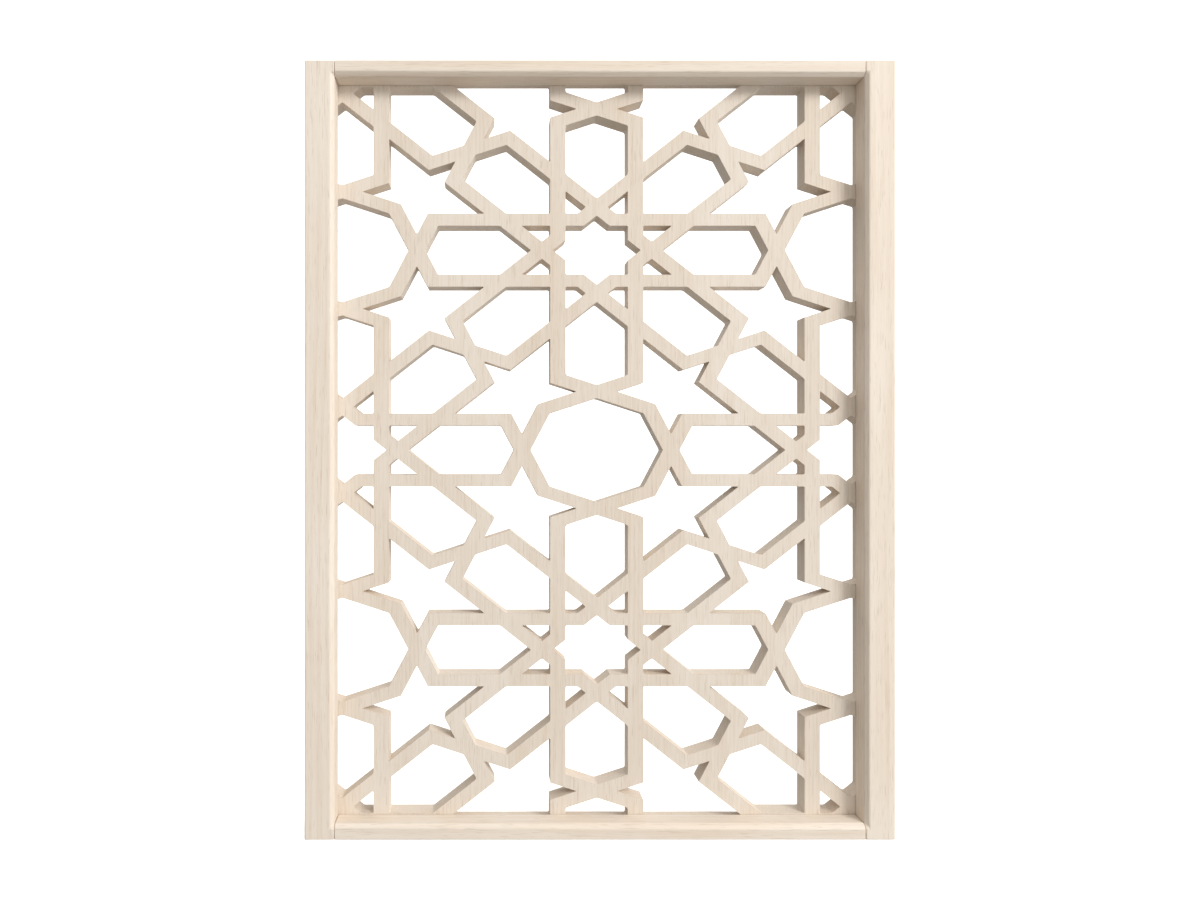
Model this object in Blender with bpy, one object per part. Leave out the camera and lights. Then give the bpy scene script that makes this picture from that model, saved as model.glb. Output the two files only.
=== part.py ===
"""Jali screen: a pierced timber panel fixed behind a plain chamfered timber frame.

The screen stands upright in the XZ plane and its front faces -Y. The origin is the
middle of the frame's underside, where the frame seats on a sill. Sizes are in metres.

The panel is fretwork on a grid of eight-fold rosettes and octagons, with five-pointed
stars between them. It is worked out in square pattern space, where the grid is PITCH_X
both ways, and then drawn in by PITCH_Z / PITCH_X upwards, so that every form is a
little wider than it is high. Its outermost holes run in behind the frame, and the
straps that meet the rails run straight in behind them.
"""

from math import cos, hypot, pi, sin, sqrt, tan

import bmesh
import bpy
from mathutils import Vector

# Frame
FRAME_WIDTH = 0.606
FRAME_HEIGHT = 0.800
FRAME_DEPTH = 0.0227       # of the four members, in front of the panel
STILE_WIDTH = 0.030
RAIL_WIDTH = 0.0155
CHAMFER = 0.004            # on the front inner edge, all the way round

# Panel
PANEL_THICKNESS = 0.020
PIERCED_TUCK = 0.0065      # how far the pierced area runs in behind the frame
FIT_GAP = 0.0003           # between pieces that touch

# Fretwork
PITCH_X = 0.2686           # from a rosette's centre to the next octagon's, across
PITCH_Z = 0.2110           # the same, upwards
STRAP_WIDTH = 0.0162       # of an upright strap
STAR_HALF_WIDTH = 0.0410   # from a rosette's centre to its nearest strap's middle
SMALLEST_HOLE = 0.012      # a hole that shows less than this inside the frame is left solid

# Sizes that follow
FRONT_Y = -(FRAME_DEPTH + FIT_GAP + PANEL_THICKNESS) / 2
FRAME_Y = FRONT_Y + FRAME_DEPTH / 2
PANEL_Y = FRONT_Y + FRAME_DEPTH + FIT_GAP + PANEL_THICKNESS / 2
MIDDLE_Z = FRAME_HEIGHT / 2
OPENING_WIDTH = FRAME_WIDTH - 2 * STILE_WIDTH
OPENING_HEIGHT = FRAME_HEIGHT - 2 * RAIL_WIDTH
PIERCED_WIDTH = OPENING_WIDTH + 2 * PIERCED_TUCK
PIERCED_HEIGHT = OPENING_HEIGHT + 2 * PIERCED_TUCK
EIGHTH = pi / 4


def clear_scene():
    """Remove the objects that the scene starts with."""
    for old in list(bpy.data.objects):
        bpy.data.objects.remove(old, do_unlink=True)


def new_collection(name):
    """A collection of this name in the scene."""
    collection = bpy.data.collections.new(name)
    bpy.context.scene.collection.children.link(collection)
    return collection


def timber(name, colour, roughness):
    """A plain Principled material."""
    material = bpy.data.materials.new(name)
    material.use_nodes = True
    shader = material.node_tree.nodes["Principled BSDF"]
    shader.inputs["Base Color"].default_value = (*colour, 1.0)
    shader.inputs["Roughness"].default_value = roughness
    shader.inputs["Metallic"].default_value = 0.0
    return material


def box(name, size, centre, collection):
    """A box of this full size about this centre."""
    mesh = bpy.data.meshes.new(name)
    shape = bmesh.new()
    bmesh.ops.create_cube(shape, size=1.0)
    bmesh.ops.scale(shape, vec=Vector(size), verts=shape.verts)
    shape.to_mesh(mesh)
    shape.free()
    made = bpy.data.objects.new(name, mesh)
    made.location = centre
    collection.objects.link(made)
    return made


def outline_curve(name, outlines, thickness, collection):
    """A flat 2D curve filled between its outlines and given a thickness."""
    curve = bpy.data.curves.new(name, "CURVE")
    curve.dimensions = "2D"
    curve.fill_mode = "BOTH"
    curve.extrude = thickness / 2
    for outline in outlines:
        spline = curve.splines.new("POLY")
        spline.points.add(len(outline) - 1)
        for point, (x, y) in zip(spline.points, outline):
            point.co = (x, y, 0.0, 1.0)
        spline.use_cyclic_u = True
    made = bpy.data.objects.new(name, curve)
    collection.objects.link(made)
    return made


def curve_to_mesh(source, collection):
    """Turn a curve object into a welded mesh of whole flat faces, of the same name and place."""
    bpy.context.view_layer.update()
    evaluated = source.evaluated_get(bpy.context.evaluated_depsgraph_get())
    mesh = bpy.data.meshes.new_from_object(evaluated)
    shape = bmesh.new()
    shape.from_mesh(mesh)
    bmesh.ops.remove_doubles(shape, verts=shape.verts, dist=0.00001)
    bmesh.ops.dissolve_limit(shape, angle_limit=0.001, verts=shape.verts, edges=shape.edges)
    shape.to_mesh(mesh)
    shape.free()
    name = source.name
    place = source.matrix_world.copy()
    bpy.data.objects.remove(source, do_unlink=True)
    made = bpy.data.objects.new(name, mesh)
    made.matrix_world = place
    collection.objects.link(made)
    return made


def hide_cutter(cutter):
    """Keep a cutting shape out of the model."""
    cutter.hide_render = True
    cutter.display_type = "WIRE"


def combine(piece, other, operation):
    """Cut the other shape out of the piece (DIFFERENCE) or keep what they share (INTERSECT)."""
    modifier = piece.modifiers.new(other.name, "BOOLEAN")
    modifier.operation = operation
    modifier.object = other
    modifier.solver = "EXACT"


def chamfer_cutter(collection):
    """A box with sloped sides that takes off the frame's front inner edge."""
    length = 3 * CHAMFER
    near = 2 * CHAMFER
    far = -CHAMFER
    size = (OPENING_WIDTH, length, OPENING_HEIGHT)
    centre = (0.0, FRONT_Y - CHAMFER + length / 2, MIDDLE_Z)
    cutter = box("chamfer", size, centre, collection)
    for vertex in cutter.data.vertices:
        grow = near if vertex.co.y < 0 else far
        vertex.co.x += grow if vertex.co.x > 0 else -grow
        vertex.co.z += grow if vertex.co.z > 0 else -grow
    hide_cutter(cutter)
    return cutter


def stile(name, side, collection):
    """An upright of the frame, full height; side is -1 on the left and 1 on the right."""
    middle_x = side * (FRAME_WIDTH - STILE_WIDTH) / 2
    size = (STILE_WIDTH, FRAME_DEPTH, FRAME_HEIGHT)
    return box(name, size, (middle_x, FRAME_Y, MIDDLE_Z), collection)


def rail(name, middle_z, collection):
    """A cross rail that fits between the stiles."""
    size = (OPENING_WIDTH - 2 * FIT_GAP, FRAME_DEPTH, RAIL_WIDTH)
    return box(name, size, (0.0, FRAME_Y, middle_z), collection)


def turned(points, angle):
    """The points turned about the origin."""
    c, s = cos(angle), sin(angle)
    return [(x * c - y * s, x * s + y * c) for x, y in points]


def rosette_cells(at_edge):
    """Strap-centre outlines of one rosette's holes: a star, eight kites, eight petals.

    At the panel's top or bottom edge the level petals give way to the stars beside them.
    """
    h = STAR_HALF_WIDTH
    tip = sqrt(2) * h
    notch = h * tan(EIGHTH / 2)
    crossing = (1 + sqrt(2)) * h
    reach = PITCH_X * sqrt(0.5)
    shoulder = reach - notch
    star, cells = [], []
    kite = [(tip, 0.0), (crossing, h), (h, h), (h, notch)]
    petal = [(tip, 0.0), (crossing, -h), (shoulder, -h), (reach, 0.0), (shoulder, h), (crossing, h)]
    for k in range(8):
        star += turned([(tip, 0.0), (h, notch)], k * EIGHTH)
        cells.append(turned(kite, k * EIGHTH))
        if not at_edge or k % 4:
            cells.append(turned(petal, k * EIGHTH))
    return [star] + cells


def mirrored(outline, x_sign, y_sign):
    """The outline changed over left and right, or up and down, and kept anticlockwise."""
    points = [(x * x_sign, y * y_sign) for x, y in outline]
    return points if x_sign == y_sign else points[::-1]


def octagon_cells(at_edge):
    """Strap-centre outlines about one octagon: itself and the four stars round it.

    At the panel's top or bottom edge only the octagon's tip shows. The straps beside it
    and the next slanting ones run straight to the edge there instead of turning.
    """
    h = STAR_HALF_WIDTH
    reach = PITCH_X * sqrt(0.5)
    radius = PITCH_X - reach
    crossing = (1 + sqrt(2)) * h
    notch = h * tan(EIGHTH / 2)
    shoulder = reach - notch
    # A five-pointed star lies between this octagon, the rosette on its left and the one above
    near_rosette = [(reach, 0.0), (shoulder, h), (crossing, h)] + turned([(shoulder, -h)], EIGHTH)
    lower = [(x - PITCH_X, y) for x, y in near_rosette]
    upper = [(-y, -x) for x, y in reversed(lower)]
    contact = [(-PITCH_X / 2, PITCH_X / 2)]
    if at_edge:
        turn = radius - notch
        octagon = [(-h, -turn), (0.0, -radius), (h, -turn), (h, turn), (0.0, radius), (-h, turn)]
        inner = [(-h, turn), (-h, 0.0)]
        lower = [(sqrt(2) * h - PITCH_X, 0.0), lower[-1]]
    else:
        octagon = [(radius * cos(k * EIGHTH), radius * sin(k * EIGHTH)) for k in range(8)]
        inner = turned([(radius, 0.0)], 3 * EIGHTH)
    star = (lower + contact + upper + inner)[::-1]
    return [octagon] + [mirrored(star, sx, sy) for sx in (-1, 1) for sy in (-1, 1)]


def inset_lines(outline, distance):
    """Each edge as a point and a unit direction, moved to the left by the distance."""
    lines = []
    for (x0, y0), (x1, y1) in zip(outline, outline[1:] + outline[:1]):
        length = hypot(x1 - x0, y1 - y0)
        dx, dy = (x1 - x0) / length, (y1 - y0) / length
        lines.append((x0 - dy * distance, y0 + dx * distance, dx, dy))
    return lines


def meeting_point(first, second):
    """Where two lines cross."""
    x0, y0, dx0, dy0 = first
    x1, y1, dx1, dy1 = second
    along = ((x1 - x0) * dy1 - (y1 - y0) * dx1) / (dx0 * dy1 - dy0 * dx1)
    return x0 + along * dx0, y0 + along * dy0


def inset(outline, distance):
    """An anticlockwise outline drawn in; an edge that this uses up lets its neighbours meet."""
    lines = inset_lines(outline, distance)
    while len(lines) > 2:
        corners = [meeting_point(a, b) for a, b in zip(lines[-1:] + lines[:-1], lines)]
        kept = []
        for line, (x0, y0), (x1, y1) in zip(lines, corners, corners[1:] + corners[:1]):
            if (x1 - x0) * line[2] + (y1 - y0) * line[3] > 0:
                kept.append(line)
        if len(kept) == len(lines):
            return corners
        lines = kept
    return []


def shows_enough(outline):
    """Whether a hole keeps a useful width inside the frame."""
    widths = []
    for axis, limit in ((0, OPENING_WIDTH / 2), (1, OPENING_HEIGHT / 2)):
        values = [point[axis] for point in outline]
        widths.append(min(max(values), limit) - max(min(values), -limit))
    return min(widths) > SMALLEST_HOLE


def cell_hole(cell):
    """The hole that a cell's straps leave, drawn in to the panel's own proportions."""
    flatten = PITCH_Z / PITCH_X
    return [(x, y * flatten) for x, y in inset(cell, STRAP_WIDTH / 2)]


def fretwork_holes():
    """Outlines of every hole, about the panel's middle, where an octagon stands."""
    columns = int(PIERCED_WIDTH / 2 / PITCH_X) + 2
    rows = int(PIERCED_HEIGHT / 2 / PITCH_Z) + 2
    cells = {(about_rosette, at_edge): [cell_hole(cell) for cell in make(at_edge)]
             for about_rosette, make in ((True, rosette_cells), (False, octagon_cells))
             for at_edge in (True, False)}
    holes = []
    for column in range(-columns, columns + 1):
        for row in range(-rows, rows + 1):
            at_edge = abs(row) * PITCH_Z > PIERCED_HEIGHT / 2
            for cell in cells[(column + row) % 2 == 1, at_edge]:
                hole = [(x + column * PITCH_X, z + row * PITCH_Z) for x, z in cell]
                if hole and shows_enough(hole):
                    holes.append(hole)
    return holes


def fretwork_cutter(collection):
    """The holes as prisms through the panel, trimmed where its plain edge begins."""
    through = 3 * PANEL_THICKNESS
    centre = (0.0, PANEL_Y, MIDDLE_Z)
    holes = outline_curve("holes", fretwork_holes(), through, collection)
    holes.location = centre
    holes.rotation_euler = (pi / 2, 0.0, 0.0)
    holes = curve_to_mesh(holes, collection)
    area_size = (PIERCED_WIDTH, 2 * PANEL_THICKNESS, PIERCED_HEIGHT)
    area = box("pierced_area", area_size, centre, collection)
    combine(holes, area, "INTERSECT")
    hide_cutter(holes)
    hide_cutter(area)
    return holes


def build():
    """Make the screen's five pieces."""
    clear_scene()
    screen = new_collection("jali_screen")
    cutters = new_collection("cutters")
    frame_timber = timber("frame_timber", (0.76, 0.69, 0.59), 0.75)
    panel_timber = timber("panel_timber", (0.72, 0.64, 0.54), 0.75)

    chamfer = chamfer_cutter(cutters)
    members = [stile("stile_left", -1, screen), stile("stile_right", 1, screen),
               rail("rail_bottom", RAIL_WIDTH / 2, screen),
               rail("rail_top", FRAME_HEIGHT - RAIL_WIDTH / 2, screen)]
    for member in members:
        combine(member, chamfer, "DIFFERENCE")
        member.data.materials.append(frame_timber)

    panel_size = (FRAME_WIDTH, PANEL_THICKNESS, FRAME_HEIGHT)
    panel = box("jali_panel", panel_size, (0.0, PANEL_Y, MIDDLE_Z), screen)
    combine(panel, fretwork_cutter(cutters), "DIFFERENCE")
    panel.data.materials.append(panel_timber)


build()
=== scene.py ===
import bmesh
import bpy
import math
from bpy.props import FloatProperty, FloatVectorProperty, IntProperty, PointerProperty
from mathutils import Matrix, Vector


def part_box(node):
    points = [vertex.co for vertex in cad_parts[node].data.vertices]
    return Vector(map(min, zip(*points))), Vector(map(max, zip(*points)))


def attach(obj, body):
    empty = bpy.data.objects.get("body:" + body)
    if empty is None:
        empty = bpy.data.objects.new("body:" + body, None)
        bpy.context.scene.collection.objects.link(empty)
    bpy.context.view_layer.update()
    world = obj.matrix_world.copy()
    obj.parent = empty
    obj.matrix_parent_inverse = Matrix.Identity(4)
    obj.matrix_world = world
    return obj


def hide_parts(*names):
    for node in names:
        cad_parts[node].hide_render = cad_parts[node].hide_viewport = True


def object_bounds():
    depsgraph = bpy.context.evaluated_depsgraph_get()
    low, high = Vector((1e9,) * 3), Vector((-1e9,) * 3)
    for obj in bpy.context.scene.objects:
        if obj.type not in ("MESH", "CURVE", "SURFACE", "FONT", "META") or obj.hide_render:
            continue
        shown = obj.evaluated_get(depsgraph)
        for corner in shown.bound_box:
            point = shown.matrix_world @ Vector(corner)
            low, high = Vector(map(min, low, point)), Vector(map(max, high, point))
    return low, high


bl_info = {
    "name": "Jali Screen Finish",
    "version": (1, 0, 0),
    "blender": (4, 5, 0),
    "location": "View3D > Sidebar > Jali",
    "description": "Eases the edges of a framed, pierced timber screen and finishes it in limed wood",
    "category": "Object",
}

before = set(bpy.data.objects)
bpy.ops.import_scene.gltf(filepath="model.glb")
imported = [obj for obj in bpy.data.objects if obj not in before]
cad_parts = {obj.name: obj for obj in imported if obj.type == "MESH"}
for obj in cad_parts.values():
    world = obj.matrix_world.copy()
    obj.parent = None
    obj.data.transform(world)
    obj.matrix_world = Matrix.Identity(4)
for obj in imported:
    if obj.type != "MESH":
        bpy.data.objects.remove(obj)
CAD_LOW, CAD_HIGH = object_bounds()

STILES = ("stile_left", "stile_right")
RAILS = ("rail_bottom", "rail_top")

# Vertices closer than this are one, and faces flatter than this to each other are one face
WELD_DISTANCE = 0.000005
FLAT_ANGLE = math.radians(0.5)
# An edge that turns by more than this is an arris
SHARP_ANGLE = math.radians(25)
# An edge is taken to run through the panel when its direction lies this much along Y
THROUGH_SHARE = 0.99


# Settings

class JaliShapeSettings(bpy.types.PropertyGroup):
    """How far the sawn edges of the timber are eased."""

    frame_arris: FloatProperty(
        name="Frame arris", description="Width of the eased edge on the frame's members",
        default=0.0009, min=0.0001, max=0.003, unit="LENGTH")
    panel_arris: FloatProperty(
        name="Panel arris", description="Width of the eased edge round each hole of the panel",
        default=0.0007, min=0.0001, max=0.002, unit="LENGTH")
    cutter_radius: FloatProperty(
        name="Cutter radius", description="Radius that the cutter leaves in a hole's corners",
        default=0.0014, min=0.0002, max=0.004, unit="LENGTH")
    arris_steps: IntProperty(
        name="Arris steps", description="Facets across an eased edge",
        default=2, min=1, max=4)
    corner_steps: IntProperty(
        name="Corner steps", description="Facets round a corner that the cutter leaves",
        default=3, min=1, max=8)


class JaliTimberSettings(bpy.types.PropertyGroup):
    """Colours and grain of the limed timber."""

    lime: FloatVectorProperty(
        name="Lime", description="Colour of the lime wash on the face of the timber",
        default=(0.845, 0.770, 0.680), subtype="COLOR", min=0.0, max=1.0)
    heartwood: FloatVectorProperty(
        name="Heartwood", description="Colour of the bleached timber where the wash is thin",
        default=(0.70, 0.56, 0.42), subtype="COLOR", min=0.0, max=1.0)
    pore: FloatVectorProperty(
        name="Pore", description="Colour in the pores and the late rings",
        default=(0.55, 0.44, 0.33), subtype="COLOR", min=0.0, max=1.0)
    ring_spacing: FloatProperty(
        name="Ring spacing", description="Width of one year's growth",
        default=0.0036, min=0.001, max=0.02, unit="LENGTH")
    board_width: FloatProperty(
        name="Board width", description="Width of the boards glued edge to edge in the panel",
        default=0.0936, min=0.03, max=0.4, unit="LENGTH")
    board_seed: IntProperty(
        name="Board seed", description="Picks where in the tree each board of the panel is cut",
        default=3, min=0, max=1000)
    # Painted shade: the panel's colours are painted this much darker than the frame's, standing in for the
    # shade where the panel sits set back behind the frame
    painted_panel_shade: FloatProperty(
        name="Panel shade", description="How much darker the panel's wash is than the frame's",
        default=0.07, min=0.0, max=1.0, subtype="FACTOR")
    roughness: FloatProperty(
        name="Roughness", description="Roughness of the dry wash",
        default=0.68, min=0.0, max=1.0, subtype="FACTOR")
    specular: FloatProperty(
        name="Specular level", description="How strongly the dry wash reflects",
        default=0.35, min=0.0, max=1.0, subtype="FACTOR")
    grain_relief: FloatProperty(
        name="Grain relief", description="Height of the grain and brush marks",
        default=0.0003, min=0.0, max=0.002, unit="LENGTH")
    grain_strength: FloatProperty(
        name="Grain strength", description="How strongly the relief shows in the light",
        default=0.35, min=0.0, max=1.0, subtype="FACTOR")


class JaliStageSettings(bpy.types.PropertyGroup):
    """The photograph's viewpoint and the light in the studio."""

    camera_distance: FloatProperty(
        name="Camera distance", description="From the camera to the front of the frame",
        default=0.780, min=0.2, max=5.0, unit="LENGTH")
    camera_left: FloatProperty(
        name="Camera left", description="How far the camera stands left of the screen's middle",
        default=0.1160, min=-1.0, max=1.0, unit="LENGTH")
    view_width: FloatProperty(
        name="View width", description="Width of the view at the front of the frame",
        default=1.2306, min=0.1, max=5.0, unit="LENGTH")
    key_power: FloatProperty(
        name="Key power", description="Power of the window light from the upper right",
        default=90.0, min=0.0, max=500.0, unit="POWER")
    key_size: FloatProperty(
        name="Key size", description="Side of the square window light",
        default=1.4, min=0.1, max=5.0, unit="LENGTH")
    key_place: FloatVectorProperty(
        name="Key place", description="Where the window light stands, from the screen's middle",
        default=(2.3, -2.5, 1.9), subtype="TRANSLATION", unit="LENGTH")
    key_colour: FloatVectorProperty(
        name="Key colour", description="Colour of the window light",
        default=(1.0, 0.98, 0.95), subtype="COLOR", min=0.0, max=1.0)
    ambient: FloatProperty(
        name="Ambient", description="Brightness of the soft light all round, before it leans",
        default=0.33, min=0.0, max=3.0)
    lean: FloatVectorProperty(
        name="Lean", description="How much brighter the soft light is from each axis's side",
        default=(0.36, -0.48, 0.33), subtype="XYZ", min=-2.0, max=2.0)
    back_light: FloatVectorProperty(
        name="Back light", description="Soft light from behind, brightest in this direction",
        default=(0.18, 0.75, 0.32), subtype="XYZ", min=-2.0, max=2.0)
    shade: FloatVectorProperty(
        name="Shade", description="Colour of the soft light on its dim side",
        default=(1.0, 0.95, 0.88), subtype="COLOR", min=0.0, max=1.0)
    backdrop: FloatVectorProperty(
        name="Backdrop", description="Colour of the paper behind and below the screen",
        default=(0.965, 0.965, 0.96), subtype="COLOR", min=0.0, max=1.0)
    backdrop_glow: FloatProperty(
        name="Backdrop glow", description="Light that the paper gives off, so that only faint shadows show",
        default=0.60, min=0.0, max=2.0)


# Node helpers

def add_node(tree, kind, **values):
    """A new node with these properties set."""
    node = tree.nodes.new(kind)
    for key, value in values.items():
        setattr(node, key, value)
    return node


def wire(tree, source, target):
    """Link a node's output to an input; a plain value is set on the input instead."""
    if isinstance(source, bpy.types.NodeSocket):
        tree.links.new(source, target)
    else:
        target.default_value = source


def maths(tree, operation, first, second=0.0, third=0.0, clamp=False):
    """The output of one Math node."""
    node = add_node(tree, "ShaderNodeMath", operation=operation, use_clamp=clamp)
    for value, socket in zip((first, second, third), node.inputs):
        wire(tree, value, socket)
    return node.outputs["Value"]


def vector_maths(tree, operation, first, second):
    """The vector output of one Vector Math node."""
    node = add_node(tree, "ShaderNodeVectorMath", operation=operation)
    wire(tree, first, node.inputs[0])
    wire(tree, second, node.inputs[1])
    return node.outputs["Vector"]


def dot_product(tree, first, second):
    """The dot product of two vectors."""
    node = add_node(tree, "ShaderNodeVectorMath", operation="DOT_PRODUCT")
    wire(tree, first, node.inputs[0])
    wire(tree, second, node.inputs[1])
    return node.outputs["Value"]


def spread(tree, value, low, high, to_low=0.0, to_high=1.0):
    """A value stretched from one range to another, smoothly and within its limits."""
    node = add_node(tree, "ShaderNodeMapRange", interpolation_type="SMOOTHSTEP")
    for source, name in ((value, "Value"), (low, "From Min"), (high, "From Max"),
                         (to_low, "To Min"), (to_high, "To Max")):
        wire(tree, source, node.inputs[name])
    return node.outputs["Result"]


def drawn_out(tree, vector, share):
    """The vector squeezed along Z to this share, so that a texture is drawn out along the grain."""
    return vector_maths(tree, "MULTIPLY", vector, (1.0, 1.0, share))


def noise(tree, vector, scale, detail, roughness=0.5):
    """A Noise Texture node on this vector, with about as many waves a metre as the scale says."""
    node = add_node(tree, "ShaderNodeTexNoise", noise_dimensions="3D")
    for source, name in ((vector, "Vector"), (scale, "Scale"), (detail, "Detail"),
                         (roughness, "Roughness")):
        wire(tree, source, node.inputs[name])
    return node


def mix_colour(tree, factor, first, second):
    """The colour output of one Mix Color node."""
    node = add_node(tree, "ShaderNodeMix", data_type="RGBA")
    # Sockets of every data type share the names A, B and Result, so the colour ones go by number
    first_colour, second_colour, result = node.inputs[6], node.inputs[7], node.outputs[2]
    wire(tree, factor, node.inputs["Factor"])
    wire(tree, first, first_colour)
    wire(tree, second, second_colour)
    return result


def new_group(name, inputs, outputs):
    """An empty shader node group with these named sockets, and its two end nodes."""
    group = bpy.data.node_groups.new(name, "ShaderNodeTree")
    for socket, kind, default in inputs:
        made = group.interface.new_socket(socket, in_out="INPUT", socket_type=kind)
        made.default_value = default
    for socket, kind in outputs:
        group.interface.new_socket(socket, in_out="OUTPUT", socket_type=kind)
    start = add_node(group, "NodeGroupInput")
    end = add_node(group, "NodeGroupOutput")
    return group, start.outputs, end.inputs


def use_group(tree, group, **values):
    """A node that places the group, with its inputs wired or set by name."""
    node = add_node(tree, "ShaderNodeGroup", node_tree=group)
    for key, value in values.items():
        wire(tree, value, node.inputs[key.replace("_", " ")])
    return node.outputs


FLOAT, VECTOR, COLOUR = "NodeSocketFloat", "NodeSocketVector", "NodeSocketColor"


# Node groups

def glued_boards_group():
    """Splits a panel into boards side by side along X, each with its own grain and tone."""
    tree, given, out = new_group(
        "Glued boards",
        [("Vector", VECTOR, (0.0, 0.0, 0.0)), ("Board Width", FLOAT, 0.09), ("Seed", FLOAT, 0.0)],
        [("Vector", VECTOR), ("Tone", FLOAT)])
    parts = add_node(tree, "ShaderNodeSeparateXYZ")
    wire(tree, given["Vector"], parts.inputs[0])
    across = maths(tree, "DIVIDE", parts.outputs["X"], given["Board Width"])
    number = maths(tree, "FLOOR", across)
    pick = add_node(tree, "ShaderNodeTexWhiteNoise", noise_dimensions="1D")
    wire(tree, maths(tree, "ADD", number, given["Seed"]), pick.inputs["W"])
    # Each board is cut from elsewhere in the tree
    shift = vector_maths(tree, "MULTIPLY", pick.outputs["Color"], (0.11, 0.09, 1.7))
    wire(tree, vector_maths(tree, "ADD", given["Vector"], shift), out["Vector"])
    wire(tree, pick.outputs["Value"], out["Tone"])
    return tree


def timber_grain_group():
    """Growth rings, fibres and pores of timber whose grain runs along Z, all through the wood."""
    tree, given, out = new_group(
        "Timber grain",
        [("Vector", VECTOR, (0.0, 0.0, 0.0)), ("Pith", VECTOR, (0.0, 0.1, 0.0)),
         ("Ring Spacing", FLOAT, 0.004), ("Waviness", FLOAT, 0.012)],
        [("Rings", FLOAT), ("Fibres", FLOAT), ("Pores", FLOAT), ("Tone", FLOAT)])
    from_pith = vector_maths(tree, "SUBTRACT", given["Vector"], given["Pith"])
    slow = noise(tree, drawn_out(tree, from_pith, 0.22), 7.0, 2.0)
    sway = vector_maths(tree, "SUBTRACT", slow.outputs["Color"], (0.5, 0.5, 0.5))
    scaled = add_node(tree, "ShaderNodeVectorMath", operation="SCALE")
    wire(tree, sway, scaled.inputs[0])
    wire(tree, given["Waviness"], scaled.inputs["Scale"])
    swayed = vector_maths(tree, "ADD", from_pith, scaled.outputs["Vector"])
    rings = add_node(tree, "ShaderNodeTexWave", wave_type="RINGS", rings_direction="Z",
                     wave_profile="SAW")
    wire(tree, drawn_out(tree, swayed, 0.02), rings.inputs["Vector"])
    # A ring every pi / 10 metres at scale 1
    wire(tree, maths(tree, "DIVIDE", math.pi / 10, given["Ring Spacing"]), rings.inputs["Scale"])
    rings.inputs["Distortion"].default_value = 1.4
    rings.inputs["Detail"].default_value = 2.0
    rings.inputs["Detail Scale"].default_value = 0.6
    wire(tree, maths(tree, "POWER", rings.outputs["Fac"], 2.2), out["Rings"])
    fibre = noise(tree, drawn_out(tree, swayed, 0.03), 620.0, 3.0, 0.6)
    wire(tree, fibre.outputs["Fac"], out["Fibres"])
    pore = noise(tree, drawn_out(tree, swayed, 0.045), 1150.0, 1.0)
    wire(tree, spread(tree, pore.outputs["Fac"], 0.60, 0.70), out["Pores"])
    tone = noise(tree, drawn_out(tree, from_pith, 0.2), 22.0, 2.0)
    wire(tree, tone.outputs["Fac"], out["Tone"])
    return tree


def cut_faces_group():
    """End grain by the way a face looks, and the cutter's marks on the sawn walls of the holes."""
    tree, given, out = new_group(
        "Cut faces",
        [("Vector", VECTOR, (0.0, 0.0, 0.0)), ("Normal", VECTOR, (0.0, 0.0, 1.0)),
         ("Grain Direction", VECTOR, (0.0, 0.0, 1.0))],
        [("End Grain", FLOAT), ("Cutter Marks", FLOAT)])
    facing_grain = maths(tree, "ABSOLUTE", dot_product(tree, given["Normal"], given["Grain Direction"]))
    wire(tree, spread(tree, facing_grain, 0.35, 0.9), out["End Grain"])
    facing_front = maths(tree, "ABSOLUTE", dot_product(tree, given["Normal"], (0.0, 1.0, 0.0)))
    wall = spread(tree, facing_front, 0.75, 0.3)
    ridges = noise(tree, vector_maths(tree, "MULTIPLY", given["Vector"], (1.0, 0.06, 1.0)), 900.0, 1.0)
    wire(tree, maths(tree, "MULTIPLY", ridges.outputs["Fac"], wall), out["Cutter Marks"])
    return tree


def rubbed_edges_group():
    """A mask of the arrises where the wash is rubbed thin, broken up along their length."""
    tree, given, out = new_group(
        "Rubbed edges",
        [("Vector", VECTOR, (0.0, 0.0, 0.0)), ("Normal", VECTOR, (0.0, 0.0, 1.0)),
         ("Width", FLOAT, 0.002)],
        [("Mask", FLOAT)])
    rounded = add_node(tree, "ShaderNodeBevel", samples=6)
    wire(tree, given["Width"], rounded.inputs["Radius"])
    turn = maths(tree, "SUBTRACT", 1.0, dot_product(tree, rounded.outputs["Normal"], given["Normal"]))
    edge = spread(tree, turn, 0.02, 0.22)
    patches = noise(tree, given["Vector"], 38.0, 3.0, 0.6)
    wire(tree, maths(tree, "MULTIPLY", edge, spread(tree, patches.outputs["Fac"], 0.38, 0.66)),
         out["Mask"])
    return tree


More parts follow.
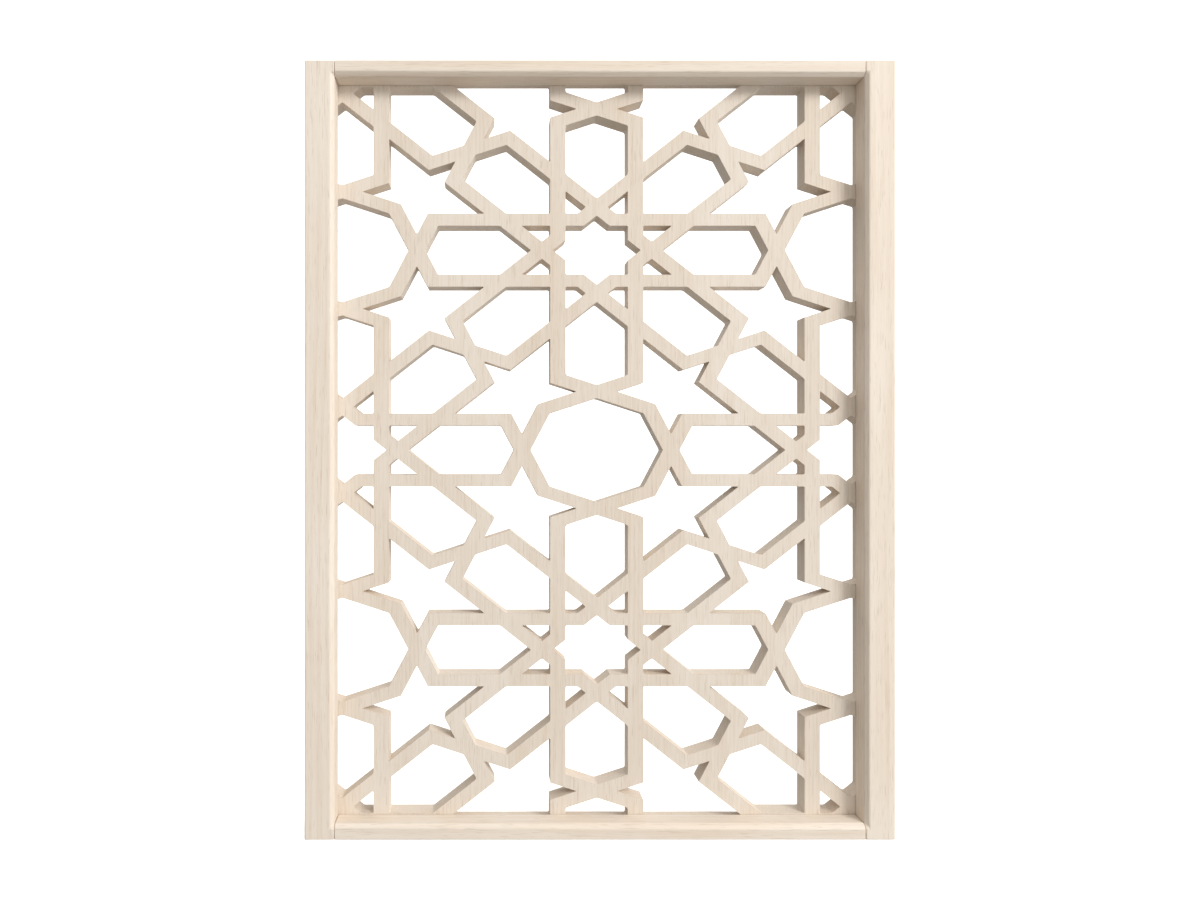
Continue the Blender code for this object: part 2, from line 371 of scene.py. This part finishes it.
def lime_wash_group():
    """Lime wash brushed along the grain: colour, roughness and height from the masks of the wood."""
    tree, given, out = new_group(
        "Lime wash",
        [("Vector", VECTOR, (0.0, 0.0, 0.0)),
         ("Lime", COLOUR, (0.8, 0.75, 0.65, 1.0)), ("Heartwood", COLOUR, (0.7, 0.56, 0.4, 1.0)),
         ("Pore", COLOUR, (0.5, 0.4, 0.3, 1.0)),
         ("Rings", FLOAT, 0.0), ("Fibres", FLOAT, 0.5), ("Pores", FLOAT, 0.0), ("Tone", FLOAT, 0.5),
         ("Board Tone", FLOAT, 0.5), ("End Grain", FLOAT, 0.0), ("Rubbed", FLOAT, 0.0),
         ("Roughness", FLOAT, 0.7)],
        [("Color", COLOUR), ("Roughness", FLOAT), ("Height", FLOAT)])
    strokes = noise(tree, drawn_out(tree, given["Vector"], 0.025), 260.0, 3.0, 0.55)
    # Each of these thins the wash by its own share, so that more of the heartwood shows
    thin = maths(tree, "MULTIPLY", spread(tree, strokes.outputs["Fac"], 0.42, 0.72), 0.20)
    # The rings show in some stretches and fade in others
    ring_show = spread(tree, given["Tone"], 0.35, 0.65, 0.05, 0.24)
    thin = maths(tree, "MULTIPLY_ADD", given["Rings"], ring_show, thin)
    thin = maths(tree, "MULTIPLY_ADD", spread(tree, given["Tone"], 0.35, 0.7), 0.16, thin)
    thin = maths(tree, "MULTIPLY_ADD", given["Board Tone"], 0.12, thin)
    thin = maths(tree, "MULTIPLY_ADD", given["Rubbed"], 0.42, thin)
    thin = maths(tree, "MULTIPLY_ADD", given["End Grain"], 0.22, thin, clamp=True)
    colour = mix_colour(tree, thin, given["Lime"], given["Heartwood"])
    dark = maths(tree, "MULTIPLY", given["Pores"], 0.34)
    dark = maths(tree, "MULTIPLY_ADD", spread(tree, given["Fibres"], 0.5, 0.75), 0.10, dark, clamp=True)
    wire(tree, mix_colour(tree, dark, colour, given["Pore"]), out["Color"])
    gloss = maths(tree, "MULTIPLY_ADD", given["Rubbed"], -0.14, given["Roughness"])
    wire(tree, maths(tree, "MULTIPLY_ADD", strokes.outputs["Fac"], 0.10, gloss, clamp=True),
         out["Roughness"])
    height = maths(tree, "MULTIPLY_ADD", given["Fibres"], 0.35, strokes.outputs["Fac"])
    height = maths(tree, "MULTIPLY_ADD", given["Pores"], -0.9, height)
    wire(tree, maths(tree, "MULTIPLY_ADD", given["Rings"], 0.35, height), out["Height"])
    return tree


# Materials

def level_vector(tree, position):
    """The position with X and Z changed over, for grain that runs along X."""
    apart = add_node(tree, "ShaderNodeSeparateXYZ")
    together = add_node(tree, "ShaderNodeCombineXYZ")
    wire(tree, position, apart.inputs[0])
    wire(tree, apart.outputs["Z"], together.inputs["X"])
    wire(tree, apart.outputs["Y"], together.inputs["Y"])
    wire(tree, apart.outputs["X"], together.inputs["Z"])
    return together.outputs[0]


def shaded(colour, shade):
    """The colour with its alpha, darker by this share, as painted shade."""
    return (*(channel * (1.0 - shade) for channel in colour), 1.0)


def limed_timber(name, groups, settings, pith, level=False, tone=0.5, boards=False, shade=0.0):
    """Limed timber: one material for a member, with its own heart, tone and grain direction."""
    material = bpy.data.materials.new(name)
    material.use_nodes = True
    tree = material.node_tree
    shader = tree.nodes["Principled BSDF"]
    place = add_node(tree, "ShaderNodeTexCoord")
    position, normal = place.outputs["Object"], place.outputs["Normal"]
    vector = level_vector(tree, position) if level else position
    board_tone = tone
    if boards:
        split = use_group(tree, groups["boards"], Vector=vector, Board_Width=settings.board_width,
                          Seed=settings.board_seed)
        vector, board_tone = split["Vector"], split["Tone"]
    grain = use_group(tree, groups["grain"], Vector=vector, Pith=pith,
                      Ring_Spacing=settings.ring_spacing)
    direction = (1.0, 0.0, 0.0) if level else (0.0, 0.0, 1.0)
    faces = use_group(tree, groups["faces"], Vector=position, Normal=normal,
                      Grain_Direction=direction)
    rubbed = use_group(tree, groups["edges"], Vector=position, Normal=normal)
    # A shade share above nought paints the lime, heartwood and pore colours darker, as painted shade
    wash = use_group(
        tree, groups["wash"], Vector=vector, Lime=shaded(settings.lime, shade),
        Heartwood=shaded(settings.heartwood, shade), Pore=shaded(settings.pore, shade),
        Rings=grain["Rings"], Fibres=grain["Fibres"], Pores=grain["Pores"], Tone=grain["Tone"],
        Board_Tone=board_tone, End_Grain=faces["End Grain"], Rubbed=rubbed["Mask"],
        Roughness=settings.roughness)
    wire(tree, wash["Color"], shader.inputs["Base Color"])
    wire(tree, wash["Roughness"], shader.inputs["Roughness"])
    bump = add_node(tree, "ShaderNodeBump")
    bump.inputs["Strength"].default_value = settings.grain_strength
    bump.inputs["Distance"].default_value = settings.grain_relief
    wire(tree, maths(tree, "ADD", wash["Height"], faces["Cutter Marks"]), bump.inputs["Height"])
    wire(tree, bump.outputs["Normal"], shader.inputs["Normal"])
    shader.inputs["Specular IOR Level"].default_value = settings.specular
    return material


def timber_groups():
    """The node groups that the timber materials share, built once."""
    names = {"boards": ("Glued boards", glued_boards_group), "grain": ("Timber grain", timber_grain_group),
             "faces": ("Cut faces", cut_faces_group), "edges": ("Rubbed edges", rubbed_edges_group),
             "wash": ("Lime wash", lime_wash_group)}
    return {key: bpy.data.node_groups.get(name) or make() for key, (name, make) in names.items()}


# Shapes

def whole_faced(node_name):
    """A CAD node's shape as an editable mesh whose flat faces are whole again."""
    shape = bmesh.new()
    shape.from_mesh(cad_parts[node_name].data)
    bmesh.ops.remove_doubles(shape, verts=shape.verts, dist=WELD_DISTANCE)
    bmesh.ops.dissolve_limit(shape, angle_limit=FLAT_ANGLE, verts=shape.verts, edges=shape.edges)
    for face in shape.faces:
        face.smooth = False
    return shape


def ease(shape, edges, width, steps):
    """Round these edges, and shade the rounding smooth against its flat neighbours."""
    made = bmesh.ops.bevel(shape, geom=edges, offset=width, offset_type="OFFSET", segments=steps,
                           profile=0.5, affect="EDGES", clamp_overlap=True)
    for face in made["faces"]:
        face.smooth = True


def sharp_edges(shape):
    """Edges where two faces meet sharply enough to be an arris."""
    return [edge for edge in shape.edges
            if len(edge.link_faces) == 2 and edge.calc_face_angle() > SHARP_ANGLE]


def finish_piece(shape, name, node, material):
    """Make the mesh a piece that stands for its CAD node."""
    mesh = bpy.data.meshes.new(name)
    shape.to_mesh(mesh)
    shape.free()
    piece = bpy.data.objects.new(name, mesh)
    bpy.context.scene.collection.objects.link(piece)
    mesh.materials.append(material)
    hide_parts(node)
    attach(piece, "root")


# Operators

class JALI_OT_panel(bpy.types.Operator):
    """Make the pierced panel with cutter-rounded holes and eased edges"""

    bl_idname = "jali.panel"
    bl_label = "Pierced panel"

    def execute(self, context):
        sizes, timber = context.scene.jali_shape, context.scene.jali_timber
        shape = whole_faced("jali_panel")
        ease(shape, self.hole_corners(shape), sizes.cutter_radius, sizes.corner_steps)
        ease(shape, sharp_edges(shape), sizes.panel_arris, sizes.arris_steps)
        # The panel's colours carry painted shade: they are painted darker than the frame's for its place
        # set back behind the frame
        material = limed_timber("limed_panel_timber", timber_groups(), timber,
                                pith=(0.02, 0.14, 0.0), boards=True, shade=timber.painted_panel_shade)
        finish_piece(shape, "pierced_panel", "jali_panel", material)
        return {"FINISHED"}

    @staticmethod
    def hole_corners(shape):
        """Edges through the panel where a hole's corner points into the timber."""
        return [edge for edge in shape.edges
                if abs((edge.verts[1].co - edge.verts[0].co).normalized().y) > THROUGH_SHARE
                and len(edge.link_faces) == 2 and not edge.is_convex]


class JALI_OT_frame(bpy.types.Operator):
    """Make the two stiles and two rails of the frame with eased edges"""

    bl_idname = "jali.frame"
    bl_label = "Frame members"

    def execute(self, context):
        sizes, timber = context.scene.jali_shape, context.scene.jali_timber
        groups = timber_groups()
        for number, node in enumerate(STILES + RAILS):
            low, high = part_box(node)
            middle = (low + high) / 2
            level = node in RAILS
            # Each member has the heart of its tree elsewhere behind it, and its own tone
            across = middle.z if level else middle.x
            aside, behind, tone = 0.03 * (number - 1.5), 0.09 + 0.02 * number, 0.2 + 0.2 * number
            material = limed_timber("limed_" + node, groups, timber, pith=(across + aside, behind, 0.0),
                                    level=level, tone=tone)
            shape = whole_faced(node)
            ease(shape, sharp_edges(shape), sizes.frame_arris, sizes.arris_steps)
            finish_piece(shape, node + "_eased", node, material)
        return {"FINISHED"}


class JALI_OT_stage(bpy.types.Operator):
    """Set up the paper backdrop, the lights and the camera"""

    bl_idname = "jali.stage"
    bl_label = "Stage, lights and camera"

    def execute(self, context):
        stage = context.scene.jali_stage
        context.scene.view_settings.view_transform = "Standard"
        self.paper(stage)
        self.sky_light(context.scene, stage)
        middle = (CAD_LOW + CAD_HIGH) / 2
        self.key_light(stage, middle)
        self.camera(context.scene, stage, middle)
        return {"FINISHED"}

    @staticmethod
    def paper(stage):
        """A sweep of paper: floor, curve and wall in one sheet."""
        front, back, top, bend, width = -2.4, 2.6, 5.0, 0.8, 8.0
        steps = 12
        line = [(front, 0.0), (back - bend, 0.0)]
        for step in range(1, steps + 1):
            angle = math.pi / 2 * step / steps
            line.append((back - bend + bend * math.sin(angle), bend - bend * math.cos(angle)))
        line.append((back, top))
        shape = bmesh.new()
        rows = [[shape.verts.new((side * width / 2, y, z)) for side in (-1, 1)] for y, z in line]
        for lower, upper in zip(rows, rows[1:]):
            shape.faces.new((lower[0], lower[1], upper[1], upper[0])).smooth = True
        mesh = bpy.data.meshes.new("paper_sweep")
        shape.to_mesh(mesh)
        shape.free()
        sweep = bpy.data.objects.new("paper_sweep", mesh)
        bpy.context.scene.collection.objects.link(sweep)
        mesh.materials.append(paper_material(stage.backdrop, stage.backdrop_glow))
        # The paper neither lights the screen nor keeps the sky's light off it, because the undersides
        # are darker in the photograph than white paper would leave them
        sweep.visible_diffuse = False

    @staticmethod
    def sky_light(scene, stage):
        """Soft light that leans to the front, the right and above, and more of it from behind."""
        world = bpy.data.worlds.new("studio_sky")
        scene.world = world
        world.use_nodes = True
        tree = world.node_tree
        background = tree.nodes["Background"]
        place = add_node(tree, "ShaderNodeTexCoord")
        # The sky is never quite black, and takes the shade's colour where it is dim
        dimmest, dim, bright = 0.05, 0.2, 0.9
        bright_colour = (1.0, 0.99, 0.98, 1.0)
        towards = dot_product(tree, place.outputs["Generated"], tuple(stage.lean))
        front = maths(tree, "MAXIMUM", maths(tree, "ADD", towards, stage.ambient), dimmest)
        behind = dot_product(tree, place.outputs["Generated"], tuple(stage.back_light))
        back = maths(tree, "MAXIMUM", behind, 0.0)
        level = maths(tree, "ADD", front, back)
        wire(tree, level, background.inputs["Strength"])
        colour = mix_colour(tree, spread(tree, level, dim, bright), (*stage.shade, 1.0), bright_colour)
        wire(tree, colour, background.inputs["Color"])

    @staticmethod
    def key_light(stage, middle):
        """A square window light at the upper right, aimed at the screen's middle."""
        light = bpy.data.lights.new("key_light", "AREA")
        light.size = stage.key_size
        light.energy = stage.key_power
        light.color = stage.key_colour
        away = Vector(stage.key_place)
        lamp = bpy.data.objects.new("key_light", light)
        lamp.location = middle + away
        lamp.rotation_euler = (-away).to_track_quat("-Z", "Y").to_euler()
        bpy.context.scene.collection.objects.link(lamp)

    @staticmethod
    def camera(scene, stage, middle):
        """Square to the screen at mid height, left of its middle, as the photograph shows it."""
        data = bpy.data.cameras.new("photo_camera")
        data.sensor_width = 36.0
        data.lens = data.sensor_width * stage.camera_distance / stage.view_width
        data.shift_x = stage.camera_left / stage.view_width
        data.clip_start = 0.01
        camera = bpy.data.objects.new("photo_camera", data)
        camera.location = (middle.x - stage.camera_left, CAD_LOW.y - stage.camera_distance, middle.z)
        camera.rotation_euler = (math.pi / 2, 0.0, 0.0)
        scene.collection.objects.link(camera)
        scene.camera = camera


def paper_material(colour, glow):
    """White studio paper that glows a little, so that only faint shadows fall on it."""
    material = bpy.data.materials.new("studio_paper")
    material.use_nodes = True
    shader = material.node_tree.nodes["Principled BSDF"]
    shader.inputs["Base Color"].default_value = (*colour, 1.0)
    shader.inputs["Roughness"].default_value = 0.9
    shader.inputs["Emission Color"].default_value = (*colour, 1.0)
    shader.inputs["Emission Strength"].default_value = glow
    return material


class JALI_PT_sidebar(bpy.types.Panel):
    """The screen's settings and steps"""

    bl_idname = "JALI_PT_sidebar"
    bl_label = "Jali screen"
    bl_space_type = "VIEW_3D"
    bl_region_type = "UI"
    bl_category = "Jali"

    def draw(self, context):
        for step in STEPS:
            self.layout.operator(step.bl_idname)
        for settings in (context.scene.jali_shape, context.scene.jali_timber, context.scene.jali_stage):
            column = self.layout.column()
            for name in settings.bl_rna.properties.keys():
                if name not in ("rna_type", "name"):
                    column.prop(settings, name)


STEPS = (JALI_OT_panel, JALI_OT_frame, JALI_OT_stage)
CLASSES = (JaliShapeSettings, JaliTimberSettings, JaliStageSettings) + STEPS + (JALI_PT_sidebar,)


def register():
    for item in CLASSES:
        bpy.utils.register_class(item)
    bpy.types.Scene.jali_shape = PointerProperty(type=JaliShapeSettings)
    bpy.types.Scene.jali_timber = PointerProperty(type=JaliTimberSettings)
    bpy.types.Scene.jali_stage = PointerProperty(type=JaliStageSettings)


def unregister():
    del bpy.types.Scene.jali_shape
    del bpy.types.Scene.jali_timber
    del bpy.types.Scene.jali_stage
    for item in reversed(CLASSES):
        bpy.utils.unregister_class(item)


def main():
    """Register, and make every piece and the stage."""
    register()
    bpy.ops.jali.panel()
    bpy.ops.jali.frame()
    bpy.ops.jali.stage()


if __name__ == "__main__":
    main()
